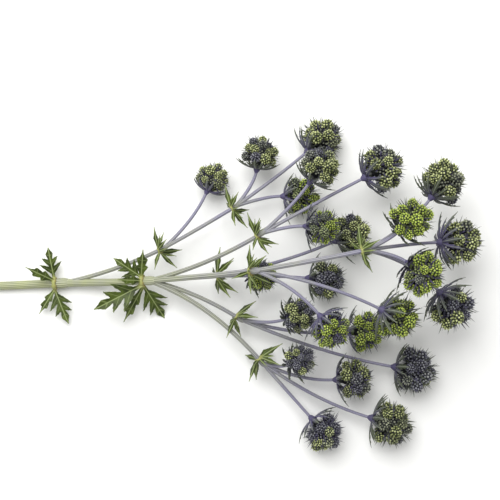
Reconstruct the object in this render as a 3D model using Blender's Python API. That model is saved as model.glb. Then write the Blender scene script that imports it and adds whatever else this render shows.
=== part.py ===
"""A cut sea holly stem lying down: a ribbed stem that forks into violet branches, with
whorls of toothed leaves at its joints, and heads of floret globes over ruffs of spiny bracts.

Lengths are millimetres until finish_node turns a mesh to metres. +X runs from the cut end to
the heads, +Z is up, and the origin is the flat rest spot under the stem by its cut end.
"""

import math
import random

import bmesh
import bpy
from mathutils import Matrix, Vector
from mathutils.geometry import intersect_point_line

METRES = 0.001
GAP = 0.35
STALK_GAP = 0.5

# Main stem: its middle line from the cut end to the second whorl, with its radius at each point.
STEM_ROUTE = (
    ((-10, 0.2, 3.55), 4.5),
    ((0, 0, 3.55), 4.5),
    ((24, -0.8, 3.55), 4.5),
    ((90, -4, 4.4), 4.4),
    ((150, -3, 4.6), 4.3),
    ((217, 0, 7), 4.2),
    ((265, 1, 15), 3.8),
    ((308, 3, 26), 3.7),
)
STEM_SIDES = 12
STEM_STEP = 30
RIB_DEPTH = 0.3
KNUCKLE_SHARE = 1.3

# Forks: what each grows from, where it is, and its branch's radius at the foot and at the top.
FORKS = {
    "first": (None, (217, 0, 7), 4.2, 4.2),
    "second": ("first", (308, 3, 26), 3.8, 3.7),
    "a1": ("first", (323, 36, 30), 2.3, 2.1),
    "a2": ("a1", (396, 78, 38), 2.0, 1.9),
    "b1": ("second", (421, 50, 62), 2.4, 2.1),
    "c1": ("second", (382, 8, 32), 2.3, 2.0),
    "d1": ("second", (400, -36, 26), 2.3, 2.0),
    "e1": ("second", (422, -80, 24), 2.5, 2.2),
    "f1": ("second", (415, 14, 84), 2.9, 2.6),
    "f2": ("f1", (522, 34, 92), 2.4, 2.2),
}

# Heads: the fork each grows from, its middle, its radius and its kind.
HEADS = {
    "a1_side": ("a1", (372, 106, 22), 18, "ripe"),
    "a2_upper": ("a2", (420, 130, 34), 20, "ripe"),
    "a2_tip": ("a2", (482, 146, 20.5), 24, "ripe"),
    "a2_lower": ("a2", (460, 88, 26), 21, "young"),
    "b1_upper": ("b1", (478, 114, 70), 21, "ripe"),
    "b1_tip": ("b1", (540, 114, 54), 25, "ripe"),
    "b1_lower": ("b1", (480, 56, 72), 20, "young"),
    "c1_side": ("c1", (422, 8, 54), 17, "young"),
    "c1_tip": ("c1", (486, 4, 28), 22, "violet"),
    "c1_upper": ("c1", (512, 50, 28), 22, "ripe"),
    "d1_side": ("d1", (458, -30, 54), 19, "ripe"),
    "d1_upper": ("d1", (526, -48, 24), 22, "young"),
    "d1_tip": ("d1", (576, -88, 21), 25, "violet"),
    "e1_side": ("e1", (460, -76, 46), 17, "violet"),
    "e1_upper": ("e1", (514, -96, 28), 22, "ripe"),
    "e1_tip": ("e1", (552, -142, 20.5), 25, "ripe"),
    "e1_lower": ("e1", (484, -150, 20), 22, "violet"),
    "f1_lower": ("f1", (488, -42, 86), 21, "young"),
    "f1_tip": ("f1", (554, -32, 68), 24, "young"),
    "f2_left": ("f2", (562, 62, 108), 22, "young"),
    "f2_upper": ("f2", (598, 100, 66), 24, "ripe"),
    "f2_tip": ("f2", (614, 42, 60), 25, "ripe"),
    "f2_right": ("f2", (574, 12, 106), 23, "young"),
    "f2_lower": ("f2", (608, -22, 62), 25, "violet"),
}
FLOWER_STALK_FOOT = 1.9
FLOWER_STALK_TOP = 1.5
BRANCH_SIDES = 6
BRANCH_PIECES = 3
FLOWER_STALK_PIECES = 2
FORWARD_LEAN = 0.22
TIP_RISE = 5
WELD_DISTANCE = 0.01

# A head, in shares of its radius: globes that bulge from the faces of a core, and the ruff's hub.
CORE_RADIUS = 0.42
WAIST_OUT = 0.60
WAIST_SPAN = 0.32
TOP_OUT = 0.85
TOP_SPAN = 0.24
GLOBE_SCALE = (0.92, 1.0)
FLORET_RISE = 0.12
GLOBE_SPREAD = math.radians(115)
NECK_BACK = 0.60
NECK_RADIUS = 0.13
HUB_FRONT = 0.62
HUB_BACK = 0.86
HUB_RADIUS = 0.2
HUB_TAPER = 0.75
BRACTS = 7
BRACT_WIDTH = 0.11
BRACT_THICKNESS = 0.035
SPIKE_BELLY = (0.5, 2.2)
BRACT_FOOT = 0.14
BRACT_BEND = 0.8
BRACT_TIP = (1.27, 0.34)
BRACT_REACH = (0.86, 1.08)
BRACT_SWEEP = (-0.1, 0.12)
BRACT_SHORTER = (1.0, 0.88, 0.76)
BRACT_MARGIN = 1.6

# Leaves of the two main whorls: heading and rise in degrees, length, width, side lobes.
WHORL_LEAVES = {
    "first": (
        (100, 16, 32, 24, True),
        (238, 10, 30, 9, False),
        (152, 38, 34, 11, False),
        (292, 6, 38, 26, True),
    ),
    "second": (
        (207, 8, 54, 34, True),
        (240, -14, 46, 11, False),
        (84, 32, 30, 13, False),
        (145, 20, 34, 24, True),
        (176, 46, 28, 10, False),
        (300, -24, 46, 30, True),
    ),
}
LEAF_THICKNESS = 0.8
# Rows across a leaf: place along the rib, half width, and how far the edge points forward.
LOBED_ROWS = (
    (0.0, 0.10, 0),
    (0.14, 0.14, 0),
    (0.22, 0.98, 0.32),
    (0.38, 0.20, 0.02),
    (0.46, 0.72, 0.26),
    (0.61, 0.18, 0.02),
    (0.71, 0.32, 0.11),
    (1.0, 0.03, 0),
)
TOOTHED_ROWS = (
    (0.0, 0.25, 0),
    (0.2, 0.45, 0),
    (0.32, 1.0, 0.1),
    (0.46, 0.55, 0),
    (0.6, 0.9, 0.1),
    (0.74, 0.4, 0),
    (1.0, 0.06, 0),
)
NARROW_ROWS = (
    (0.0, 0.42, 0),
    (0.36, 1.0, 0.12),
    (0.62, 0.62, 0),
    (1.0, 0.07, 0),
)

# Small whorls at the forks: how many narrow leaves each has, and their length.
SMALL_LEAF_WIDTH = 0.24
SMALL_LEAF_TURNS = (0, 10, -10, 20, -20, 30, -30)
SMALL_LEAF_SLANTS = ((0.0, 0.4), (0.8, 1.3), (-0.5, -0.1))
SMALL_LEAF_MARGIN = 2.2
SMALL_WHORLS = {
    "a1": (6, 23),
    "a2": (6, 21),
    "b1": (7, 22),
    "c1": (8, 25),
    "d1": (7, 22),
    "e1": (7, 24),
    "f1": (7, 22),
    "f2": (6, 21),
}
LEAF_FACE = Vector((0, 0, 2))
RIB_FOLD = 0.3
LEAF_DROOP = 0.12
MAIN_COLLAR = (3.4, 1.5, 8)
SMALL_COLLAR = (2.6, 0.9, 6)
LEAF_ROOT = 0.6
FLOOR_CLEARANCE = 1.0

LINEAR_COLOURS = {
    "stem_skin": (0.52, 0.54, 0.33),
    "whorl_leaf": (0.09, 0.16, 0.05),
    "spiny_bract": (0.12, 0.14, 0.16),
    "ripe_floret": (0.20, 0.27, 0.12),
    "young_floret": (0.36, 0.50, 0.07),
    "violet_floret": (0.09, 0.08, 0.16),
}


def clear_scene():
    for thing in list(bpy.data.objects):
        bpy.data.objects.remove(thing)


def plant_material(name):
    """A matt plant surface of one colour."""
    material = bpy.data.materials.new(name)
    material.use_nodes = True
    shader = material.node_tree.nodes["Principled BSDF"]
    shader.inputs["Base Color"].default_value = (*LINEAR_COLOURS[name], 1)
    shader.inputs["Roughness"].default_value = 0.6
    shader.inputs["Metallic"].default_value = 0
    return material


def solid(mesh_data, name="piece"):
    """An object round a mesh or a bmesh, not yet in any collection."""
    if isinstance(mesh_data, bmesh.types.BMesh):
        mesh = bpy.data.meshes.new(name)
        mesh_data.to_mesh(mesh)
        mesh_data.free()
    else:
        mesh = mesh_data
    return bpy.data.objects.new(name, mesh)


def face_outwards(shape):
    """Turn a closed shape's faces out; the sign of its volume tells which way they point."""
    bmesh.ops.recalc_face_normals(shape, faces=shape.faces)
    if shape.calc_volume(signed=True) < 0:
        bmesh.ops.reverse_faces(shape, faces=shape.faces)


def fused(pieces):
    """One closed mesh from pieces that overlap."""
    joining = bpy.data.collections.new("joining")
    bpy.context.scene.collection.children.link(joining)
    base = pieces[0]
    bpy.context.scene.collection.objects.link(base)
    for piece in pieces[1:]:
        joining.objects.link(piece)
    union = base.modifiers.new("union", "BOOLEAN")
    union.operation = "UNION"
    union.operand_type = "COLLECTION"
    union.collection = joining
    union.solver = "MANIFOLD"
    depsgraph = bpy.context.evaluated_depsgraph_get()
    mesh = bpy.data.meshes.new_from_object(base.evaluated_get(depsgraph))
    for piece in pieces:
        bpy.data.objects.remove(piece)
    bpy.data.collections.remove(joining)
    return mesh


def finish_node(name, mesh, material, collection):
    """Stand what dips under the surface on it, turn the mesh to metres and keep it as a node."""
    for vertex in mesh.vertices:
        vertex.co.z = max(vertex.co.z, 0)
    mesh.transform(Matrix.Scale(METRES, 4))
    mesh.materials.clear()
    mesh.materials.append(material)
    node = bpy.data.objects.new(name, mesh)
    collection.objects.link(node)
    return node


# Routes of the stem and its branches


def smooth_route(points, radii, step):
    """Points about a step apart on a Catmull-Rom curve through the given points."""
    places = [Vector(point) for point in points]
    padded = [places[0] * 2 - places[1], *places, places[-1] * 2 - places[-2]]
    route = []
    for index in range(len(places) - 1):
        before, start, end, after = padded[index:index + 4]
        pieces = max(1, round((end - start).length / step))
        for piece in range(pieces):
            t = piece / pieces
            place = 0.5 * (
                2 * start
                + (end - before) * t
                + (2 * before - 5 * start + 4 * end - after) * t * t
                + (3 * start - before - 3 * end + after) * t ** 3
            )
            radius = radii[index] + (radii[index + 1] - radii[index]) * t
            route.append((place, radius))
    route.append((places[-1], radii[-1]))
    return route


def bent_route(start, bend, end, foot_radius, top_radius, pieces):
    """A quadratic curve from start to end that leaves towards bend."""
    route = []
    for piece in range(pieces + 1):
        t = piece / pieces
        place = start * (1 - t) ** 2 + bend * 2 * t * (1 - t) + end * t * t
        route.append((place, foot_radius + (top_radius - foot_radius) * t))
    return route


def bend_point(start, end, parent_direction, rise):
    """The point that a branch sets off towards, leaning the way its parent grows."""
    chord = end - start
    lean = (parent_direction - chord.normalized()) * chord.length * FORWARD_LEAN
    return start + chord / 2 + lean - Vector((0, 0, rise))


def plan_stem():
    """Routes of every branch and stalk, with the direction each has at its end."""
    routes = {}
    directions = {name: main_direction(name) for name in WHORL_LEAVES}
    for name, (parent, place, foot_radius, top_radius) in FORKS.items():
        if name in directions:
            continue
        start = Vector(FORKS[parent][1])
        end = Vector(place)
        bend = bend_point(start, end, directions[parent], 0)
        routes[name] = bent_route(start, bend, end, foot_radius, top_radius, BRANCH_PIECES)
        directions[name] = (end - bend).normalized()
    for name, (parent, place, radius, kind) in HEADS.items():
        start = Vector(FORKS[parent][1])
        middle = Vector(place)
        bend = bend_point(start, middle, directions[parent], TIP_RISE)
        direction = (middle - bend).normalized()
        end = middle - direction * (radius * HUB_BACK + STALK_GAP)
        radii = (FLOWER_STALK_FOOT, FLOWER_STALK_TOP)
        routes[name] = bent_route(start, bend, end, *radii, FLOWER_STALK_PIECES)
        directions[name] = direction
    return routes, directions


def main_direction(fork):
    """The way that the main stem runs where it reaches a fork."""
    places = [Vector(point) for point, radius in STEM_ROUTE]
    index = places.index(Vector(FORKS[fork][1]))
    return (places[index] - places[index - 1]).normalized()


# The stem


def tube(route, sides):
    """A round tube along a route, its radius changing from point to point, as a closed mesh."""
    curve = bpy.data.curves.new("tube", "CURVE")
    curve.dimensions = "3D"
    curve.twist_mode = "Z_UP"
    curve.bevel_depth = 1
    curve.bevel_resolution = (sides - 4) // 2
    curve.use_fill_caps = True
    spline = curve.splines.new("POLY")
    spline.points.add(len(route) - 1)
    for point, (place, radius) in zip(spline.points, route):
        point.co = (*place, 1)
        point.radius = radius
    guide = bpy.data.objects.new("tube", curve)
    bpy.context.scene.collection.objects.link(guide)
    depsgraph = bpy.context.evaluated_depsgraph_get()
    mesh = bpy.data.meshes.new_from_object(guide.evaluated_get(depsgraph))
    bpy.data.objects.remove(guide)
    shape = bmesh.new()
    shape.from_mesh(mesh)
    bmesh.ops.remove_doubles(shape, verts=shape.verts, dist=WELD_DISTANCE)
    face_outwards(shape)
    return shape


def flute(shape, route, sides):
    """Press every second edge line of a tube that runs along X inwards, which leaves ribs."""
    for vertex in shape.verts:
        middle = min((place for place, radius in route), key=lambda place: (place - vertex.co).length)
        outward = vertex.co - middle
        spoke = round(math.atan2(outward.z, outward.y) * sides / math.tau)
        if spoke % 2:
            vertex.co -= outward.normalized() * RIB_DEPTH


def knuckle(place, radius):
    """The swelling at a fork, which the feet of its branches are sunk in."""
    shape = bmesh.new()
    bmesh.ops.create_icosphere(shape, subdivisions=1, radius=radius, matrix=Matrix.Translation(place))
    return shape


def make_stem(routes):
    points = [point for point, radius in STEM_ROUTE]
    radii = [radius for point, radius in STEM_ROUTE]
    main_route = smooth_route(points, radii, STEM_STEP)
    main_tube = tube(main_route, STEM_SIDES)
    flute(main_tube, main_route, STEM_SIDES)
    for vertex in main_tube.verts:
        vertex.co.z = max(vertex.co.z, 0)
    pieces = [solid(main_tube)]
    for name, route in routes.items():
        pieces.append(solid(tube(route, BRANCH_SIDES)))
    for name, (parent, place, foot_radius, top_radius) in FORKS.items():
        pieces.append(solid(knuckle(place, top_radius * KNUCKLE_SHARE)))
    return fused(pieces)


# What grows on it keeps clear of what is there already


class Room:
    """The rods and balls that are taken, each with the name of what it belongs to."""

    def __init__(self):
        self.taken = []

    def take(self, start, end, radius, owner):
        self.taken.append((start, end, radius, owner))

    def is_free(self, places, margin, own):
        for place in places:
            if place.z < FLOOR_CLEARANCE:
                return False
            for start, end, radius, owner in self.taken:
                if owner in own:
                    continue
                if (place - nearest(place, start, end)).length < radius + margin:
                    return False
        return True


def nearest(place, start, end):
    """The point of a rod's middle line that is nearest to a place."""
    if start == end:
        return start
    foot, share = intersect_point_line(place, start, end)
    if share <= 0:
        return start
    if share >= 1:
        return end
    return foot


def fill_room(routes):
    room = Room()
    points = [Vector(point) for point, radius in STEM_ROUTE]
    for start, end in zip(points, points[1:]):
        room.take(start, end, STEM_ROUTE[0][1], "main")
    for name, route in routes.items():
        for (start, radius), (end, end_radius) in zip(route, route[1:]):
            room.take(start, end, radius, name)
    for name, (parent, place, radius, kind) in HEADS.items():
        room.take(Vector(place), Vector(place), radius, name)
    return room


# Heads


def facing(direction, place):
    """A matrix that takes +Z to a direction and the origin to a place."""
    return Matrix.Translation(place) @ direction.to_track_quat("Z", "Y").to_matrix().to_4x4()


def face_direction(face):
    return face.calc_center_median().normalized()


def globe_faces(core):
    """The core's faces that carry a globe: all but those that look back along the stalk."""
    return [face for face in core.faces if math.acos(face_direction(face).z) < GLOBE_SPREAD]


def draw_out(shape, face, distance, span):
    """Extrude a face to a distance along its own axis, with its corners a span from the axis."""
    axis = face_direction(face)
    middle = face.calc_center_median()
    drawn = bmesh.ops.extrude_discrete_faces(shape, faces=[face])["faces"][0]
    for vertex in drawn.verts:
        vertex.co = axis * distance + (vertex.co - middle).normalized() * span
    return drawn


def make_head(name, direction):
    """A core whose front faces are drawn out into globes, each with its florets raised on it."""
    parent, place, radius, kind = HEADS[name]
    chance = random.Random("head_" + name)
    shape = bmesh.new()
    bmesh.ops.create_icosphere(shape, subdivisions=1, radius=radius * CORE_RADIUS)
    shape.faces.ensure_lookup_table()
    face_down = face_direction(shape.faces[0]).rotation_difference(Vector((0, 0, -1))).to_matrix()
    spin = Matrix.Rotation(chance.uniform(0, math.tau), 3, "Z")
    bmesh.ops.transform(shape, matrix=(spin @ face_down).to_4x4(), verts=shape.verts)
    rear = min(shape.faces, key=lambda face: face_direction(face).z)
    globes = globe_faces(shape)
    draw_out(shape, rear, radius * NECK_BACK - GAP, radius * NECK_RADIUS)
    bulging = set()
    for face in globes:
        scale = radius * chance.uniform(*GLOBE_SCALE)
        waist = draw_out(shape, face, scale * WAIST_OUT, scale * WAIST_SPAN)
        top = draw_out(shape, waist, scale * TOP_OUT, scale * TOP_SPAN)
        bulging.update(side for edge in top.edges for side in edge.link_faces)
        if face_direction(top).z < 0:
            bulging.remove(top)
    poked = bmesh.ops.poke(shape, faces=list(bulging))["verts"]
    for vertex in poked:
        vertex.normal_update()
    for vertex in poked:
        vertex.co += vertex.normal * radius * FLORET_RISE
    bmesh.ops.transform(shape, matrix=facing(direction, Vector(place)), verts=shape.verts)
    face_outwards(shape)
    mesh = bpy.data.meshes.new(name)
    shape.to_mesh(mesh)
    shape.free()
    return mesh


# Bracts


def bract_line(radius, around, reach, sweep):
    """Foot, bend and tip of a bract that radiates from a ruff facing +Z."""
    out = Vector((math.cos(around), math.sin(around), 0))
    up = Vector((0, 0, 1))
    back = up * radius * (HUB_FRONT + HUB_BACK) / 2
    tip_out, tip_back = BRACT_TIP
    foot = out * radius * BRACT_FOOT - back
    bend = out * radius * BRACT_BEND * reach - back
    tip = out * radius * tip_out * reach - up * radius * (tip_back - sweep)
    return foot, bend, tip


def spike(foot, bend, tip, width, thickness):
    """A three-sided blade that bends once. It is widest half way and tapers to a point."""
    foot_share, widening = SPIKE_BELLY
    shape = bmesh.new()
    bmesh.ops.create_cone(shape, cap_ends=True, segments=3, radius1=1, radius2=0, depth=1)
    bmesh.ops.translate(shape, vec=(0, 0, 0.5), verts=shape.verts)
    everything = [*shape.verts, *shape.edges, *shape.faces]
    bmesh.ops.bisect_plane(shape, geom=everything, plane_co=(0, 0, 0.5), plane_no=(0, 0, 1))
    for vertex in shape.verts:
        t = vertex.co.z
        along = ((bend - foot) * (1 - t) + (tip - bend) * t).normalized()
        side = along.cross((tip - foot).cross(bend - foot)).normalized()
        flat = along.cross(side)
        middle = foot * (1 - t) ** 2 + bend * 2 * t * (1 - t) + tip * t * t
        belly = foot_share + widening * t
        vertex.co = middle + flat * vertex.co.x * width * belly + side * vertex.co.y * thickness * belly
    face_outwards(shape)
    return shape


def make_ruff(name, direction, room):
    """A hub behind a head, with the bracts that have room."""
    parent, place, radius, kind = HEADS[name]
    chance = random.Random("bracts_" + name)
    matrix = facing(direction, Vector(place))
    hub = bmesh.new()
    hub_length = radius * (HUB_BACK - HUB_FRONT)
    bmesh.ops.create_cone(
        hub,
        cap_ends=True,
        segments=BRACTS,
        radius1=radius * HUB_RADIUS * HUB_TAPER,
        radius2=radius * HUB_RADIUS,
        depth=hub_length,
        matrix=matrix @ Matrix.Translation((0, 0, -radius * (HUB_FRONT + HUB_BACK) / 2)),
    )
    pieces = [solid(hub)]
    for index in range(BRACTS):
        around = math.tau * (index + 0.5 + chance.uniform(-0.12, 0.12)) / BRACTS
        reach = chance.uniform(*BRACT_REACH)
        sweep = chance.uniform(*BRACT_SWEEP)
        for shorter in BRACT_SHORTER:
            line = bract_line(radius, around, reach * shorter, sweep)
            foot, bend, tip = (matrix @ point for point in line)
            if not room.is_free(line_places(foot, bend, tip, 0.25), BRACT_MARGIN, (name,)):
                continue
            elbow = bend.lerp(tip, 0.3)
            room.take(foot.lerp(bend, 0.6), elbow, BRACT_MARGIN, name)
            room.take(elbow, tip, BRACT_MARGIN, name)
            pieces.append(solid(spike(foot, bend, tip, radius * BRACT_WIDTH, radius * BRACT_THICKNESS)))
            break
    return fused(pieces)


def line_places(foot, bend, tip, start_share):
    """Places along a bent line, from a share of its length on."""
    places = []
    for step in range(9):
        t = start_share + (1 - start_share) * step / 8
        places.append(foot * (1 - t) ** 2 + bend * 2 * t * (1 - t) + tip * t * t)
    return places


# Leaves


def blade(matrix, length, width, rows, columns):
    """A thin blade along +X with a cut edge, folded a little along its rib and arched to its tip."""
    shape = bmesh.new()
    bmesh.ops.create_grid(shape, x_segments=len(rows) - 1, y_segments=columns, size=0.5)
    for vertex in shape.verts:
        along, half_width, forward = rows[round((vertex.co.x + 0.5) * (len(rows) - 1))]
        across = vertex.co.y * 2
        t = along + forward * abs(across)
        side = across * half_width * width / 2
        vertex.co = (t * length, side, abs(side) * RIB_FOLD - LEAF_DROOP * length * t * t)
    bmesh.ops.triangulate(shape, faces=shape.faces)
    bmesh.ops.transform(shape, matrix=matrix, verts=shape.verts)
    for vertex in shape.verts:
        vertex.co.z = max(vertex.co.z, FLOOR_CLEARANCE)
    bmesh.ops.solidify(shape, geom=shape.faces, thickness=LEAF_THICKNESS)
    face_outwards(shape)
    return shape


def leaf_matrix(place, along, outward):
    """A matrix that takes +X along a leaf, with its upper face turned outward."""
    along = along.normalized()
    side = outward.cross(along).normalized()
    up = along.cross(side)
    turn = Matrix((along, side, up)).transposed().to_4x4()
    return Matrix.Translation(place) @ turn


def ring(fork, direction, stem_radius, size):
    """The collar of leaf bases round a stem just below a fork, and its own radius and middle."""
    back, thickness, segments = size
    place = fork - direction * (stem_radius + back)
    inner = (stem_radius + GAP) / math.cos(math.pi / segments)
    bpy.ops.mesh.primitive_torus_add(
        major_segments=segments,
        minor_segments=4,
        major_radius=inner + thickness,
        minor_radius=thickness,
    )
    collar = bpy.context.object
    collar.data.transform(facing(direction, place))
    for held_in in list(collar.users_collection):
        held_in.objects.unlink(collar)
    return collar, inner + thickness, place


def make_main_whorl(name, room):
    """Broad leaves on a collar just below one of the main stem's forks."""
    direction = main_direction(name)
    radius = FORKS[name][3]
    collar, collar_radius, place = ring(Vector(FORKS[name][1]), direction, radius, MAIN_COLLAR)
    pieces = [collar]
    for heading, rise, length, width, is_lobed in WHORL_LEAVES[name]:
        turn = math.radians(heading)
        tilt = math.radians(rise)
        along = Vector((math.cos(turn) * math.cos(tilt), math.sin(turn) * math.cos(tilt), math.sin(tilt)))
        outward = (along - direction * along.dot(direction)).normalized()
        foot = place + outward * collar_radius
        matrix = leaf_matrix(foot - along * LEAF_ROOT, along, Vector((0, 0, 1)))
        rows = LOBED_ROWS if is_lobed else TOOTHED_ROWS
        pieces.append(solid(blade(matrix, length, width, rows, 2)))
        room.take(foot + along * 6, foot + along * length, width / 2, name)
    return fused(pieces)


def make_small_whorl(name, directions, room):
    """Narrow toothed leaves that spread from a collar just below a fork."""
    chance = random.Random("leaves_" + name)
    count, length = SMALL_WHORLS[name]
    direction = directions[name]
    radius = FORKS[name][3] * 1.04
    collar, collar_radius, place = ring(Vector(FORKS[name][1]), direction, radius, SMALL_COLLAR)
    pieces = [collar]
    frame = facing(direction, place).to_3x3()
    for index in range(count):
        around = math.tau * (index + chance.uniform(-0.2, 0.2)) / count
        slant = chance.uniform(*SMALL_LEAF_SLANTS[index % len(SMALL_LEAF_SLANTS)])
        own_length = length * chance.uniform(0.85, 1.1)
        for turn in SMALL_LEAF_TURNS:
            angle = around + math.radians(turn)
            out = (frame @ Vector((math.cos(angle), math.sin(angle), 0))).normalized()
            along = (out + direction * slant).normalized()
            foot = place + out * collar_radius
            tip = foot + along * own_length
            places = line_places(foot, foot.lerp(tip, 0.5), tip, 0.3)
            if not room.is_free(places, SMALL_LEAF_MARGIN, (name,)):
                continue
            room.take(foot.lerp(tip, 0.25), tip, SMALL_LEAF_MARGIN, name)
            matrix = leaf_matrix(foot - along * LEAF_ROOT, along, LEAF_FACE - direction)
            width = own_length * SMALL_LEAF_WIDTH
            pieces.append(solid(blade(matrix, own_length, width, NARROW_ROWS, 1)))
            break
    return fused(pieces)


def main():
    clear_scene()
    plant = bpy.data.collections.new("sea_holly_stem")
    bpy.context.scene.collection.children.link(plant)
    materials = {name: plant_material(name) for name in LINEAR_COLOURS}
    routes, directions = plan_stem()
    room = fill_room(routes)
    finish_node("stem", make_stem(routes), materials["stem_skin"], plant)
    for name in WHORL_LEAVES:
        finish_node("leaves_" + name, make_main_whorl(name, room), materials["whorl_leaf"], plant)
    for name in SMALL_WHORLS:
        mesh = make_small_whorl(name, directions, room)
        finish_node("leaves_" + name, mesh, materials["whorl_leaf"], plant)
    for name, (parent, place, radius, kind) in HEADS.items():
        head = make_head(name, directions[name])
        finish_node("head_" + name, head, materials[kind + "_floret"], plant)
        ruff = make_ruff(name, directions[name], room)
        finish_node("bracts_" + name, ruff, materials["spiny_bract"], plant)


main()
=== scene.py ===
"""Dresses a cut sea holly stem: a ribbed stem that forks into violet branches, whorls of toothed
leaves at its joints, and heads of floret globes over ruffs of spiny bracts.

Lengths are millimetres until keep_piece turns a mesh to metres. +X runs from the cut end to
the heads, and +Z is up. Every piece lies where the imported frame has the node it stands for.
"""

import math
import random

import bmesh
import bpy
from bpy.props import FloatProperty, FloatVectorProperty, IntProperty, PointerProperty
from mathutils import Matrix, Vector
from mathutils.geometry import intersect_point_line


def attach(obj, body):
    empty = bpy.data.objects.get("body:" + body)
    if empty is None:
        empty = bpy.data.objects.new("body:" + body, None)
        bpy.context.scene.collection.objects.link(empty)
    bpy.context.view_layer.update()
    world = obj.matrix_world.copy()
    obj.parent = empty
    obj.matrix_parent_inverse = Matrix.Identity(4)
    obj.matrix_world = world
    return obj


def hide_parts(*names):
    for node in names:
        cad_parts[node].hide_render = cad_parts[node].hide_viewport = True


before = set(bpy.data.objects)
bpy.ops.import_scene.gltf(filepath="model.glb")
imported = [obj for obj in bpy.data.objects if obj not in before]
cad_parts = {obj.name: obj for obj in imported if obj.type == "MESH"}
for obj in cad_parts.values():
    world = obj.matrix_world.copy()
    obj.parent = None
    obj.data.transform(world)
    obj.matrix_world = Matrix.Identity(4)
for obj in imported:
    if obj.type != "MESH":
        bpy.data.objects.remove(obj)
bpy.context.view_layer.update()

bl_info = {
    "name": "Sea holly stem",
    "version": (1, 0, 0),
    "blender": (4, 5, 0),
    "location": "3D View > Sidebar > Sea holly",
    "description": "Dresses a cut, branched sea holly stem with its leaves, bracts and heads",
    "category": "Object",
}

METRES = 0.001
TONE = "tone"
BODY = "root"
# Clearances that the solids leave: inside a collar, and past the end of a flower stalk.
GAP = 0.35
STALK_GAP = 0.5
# How near to each other two points of a skin are welded, and how low a leaf may hang.
WELD = 0.0005
FLOOR_CLEARANCE = 1.0

# Main stem: its middle line from the cut end to the second whorl, with its radius at each point.
STEM_ROUTE = (
    ((-10, 0.2, 3.55), 4.5),
    ((0, 0, 3.55), 4.5),
    ((24, -0.8, 3.55), 4.5),
    ((90, -4, 4.4), 4.4),
    ((150, -3, 4.6), 4.3),
    ((217, 0, 7), 4.2),
    ((265, 1, 15), 3.8),
    ((308, 3, 26), 3.7),
)
STEM_STEP = 5
# The cut end, from its rim inwards: share of the last width that is left, and how far it sinks.
CUT_STEPS = ((0.86, 0), (0.8, 0.35), (0.4, 0.25))
# Sides and ribs of the skins, and how deep the branches' ribs are beside the main stem's.
SIDES_PER_RIB = 4
BRANCH_SIDES = 16
BRANCH_RIBS = 8
BRANCH_RIB_SHARE = 0.5
JOINT_SIDES = 40
# A swollen joint: its radius beside its branch's, its reach back and ahead in shares of that,
# its rings each way, the share of the stem's radius that it rises from and how far it closes.
JOINT_RADIUS = 1.3
JOINT_BACK = 2.2
JOINT_AHEAD = 2.1
JOINT_RINGS = 8
JOINT_FOOT = 0.97
JOINT_CLOSING = 0.97
# Share of violet at the foot and at the top of each part of the stem.
VIOLET = {
    "main stem": (0.0, 0.3),
    "main joint": (0.25, 0.35),
    "branch": (0.35, 0.6),
    "upper branch": (0.5, 0.75),
    "joint": (0.5, 0.5),
    "flower stalk": (0.6, 0.95),
}

# Forks: what each grows from, where it is, and its branch's radius at the foot and at the top.
FORKS = {
    "first": (None, (217, 0, 7), 4.2, 4.2),
    "second": ("first", (308, 3, 26), 3.8, 3.7),
    "a1": ("first", (323, 36, 30), 2.3, 2.1),
    "a2": ("a1", (396, 78, 38), 2.0, 1.9),
    "b1": ("second", (421, 50, 62), 2.4, 2.1),
    "c1": ("second", (382, 8, 32), 2.3, 2.0),
    "d1": ("second", (400, -36, 26), 2.3, 2.0),
    "e1": ("second", (422, -80, 24), 2.5, 2.2),
    "f1": ("second", (415, 14, 84), 2.9, 2.6),
    "f2": ("f1", (522, 34, 92), 2.4, 2.2),
}

# Heads: the fork each grows from, its middle, its radius and its kind.
HEADS = {
    "a1_side": ("a1", (372, 106, 22), 18, "ripe"),
    "a2_upper": ("a2", (420, 130, 34), 20, "ripe"),
    "a2_tip": ("a2", (482, 146, 20.5), 24, "ripe"),
    "a2_lower": ("a2", (460, 88, 26), 21, "young"),
    "b1_upper": ("b1", (478, 114, 70), 21, "ripe"),
    "b1_tip": ("b1", (540, 114, 54), 25, "ripe"),
    "b1_lower": ("b1", (480, 56, 72), 20, "young"),
    "c1_side": ("c1", (422, 8, 54), 17, "young"),
    "c1_tip": ("c1", (486, 4, 28), 22, "violet"),
    "c1_upper": ("c1", (512, 50, 28), 22, "ripe"),
    "d1_side": ("d1", (458, -30, 54), 19, "ripe"),
    "d1_upper": ("d1", (526, -48, 24), 22, "young"),
    "d1_tip": ("d1", (576, -88, 21), 25, "violet"),
    "e1_side": ("e1", (460, -76, 46), 17, "violet"),
    "e1_upper": ("e1", (514, -96, 28), 22, "ripe"),
    "e1_tip": ("e1", (552, -142, 20.5), 25, "ripe"),
    "e1_lower": ("e1", (484, -150, 20), 22, "violet"),
    "f1_lower": ("f1", (488, -42, 86), 21, "young"),
    "f1_tip": ("f1", (554, -32, 68), 24, "young"),
    "f2_left": ("f2", (562, 62, 108), 22, "young"),
    "f2_upper": ("f2", (598, 100, 66), 24, "ripe"),
    "f2_tip": ("f2", (614, 42, 60), 25, "ripe"),
    "f2_right": ("f2", (574, 12, 106), 23, "young"),
    "f2_lower": ("f2", (608, -22, 62), 25, "violet"),
}
FLOWER_STALK_FOOT = 1.9
FLOWER_STALK_TOP = 1.5
# Pieces of each curve as it is made, and as the few rods that leaves and bracts keep clear of.
BRANCH_PIECES = 16
FLOWER_STALK_PIECES = 14
BRANCH_RODS = 3
STALK_RODS = 2
# How far a branch sets off the way that its parent grows, and how far a flower stalk rises.
FORWARD_LEAN = 0.22
TIP_RISE = 5

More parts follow.
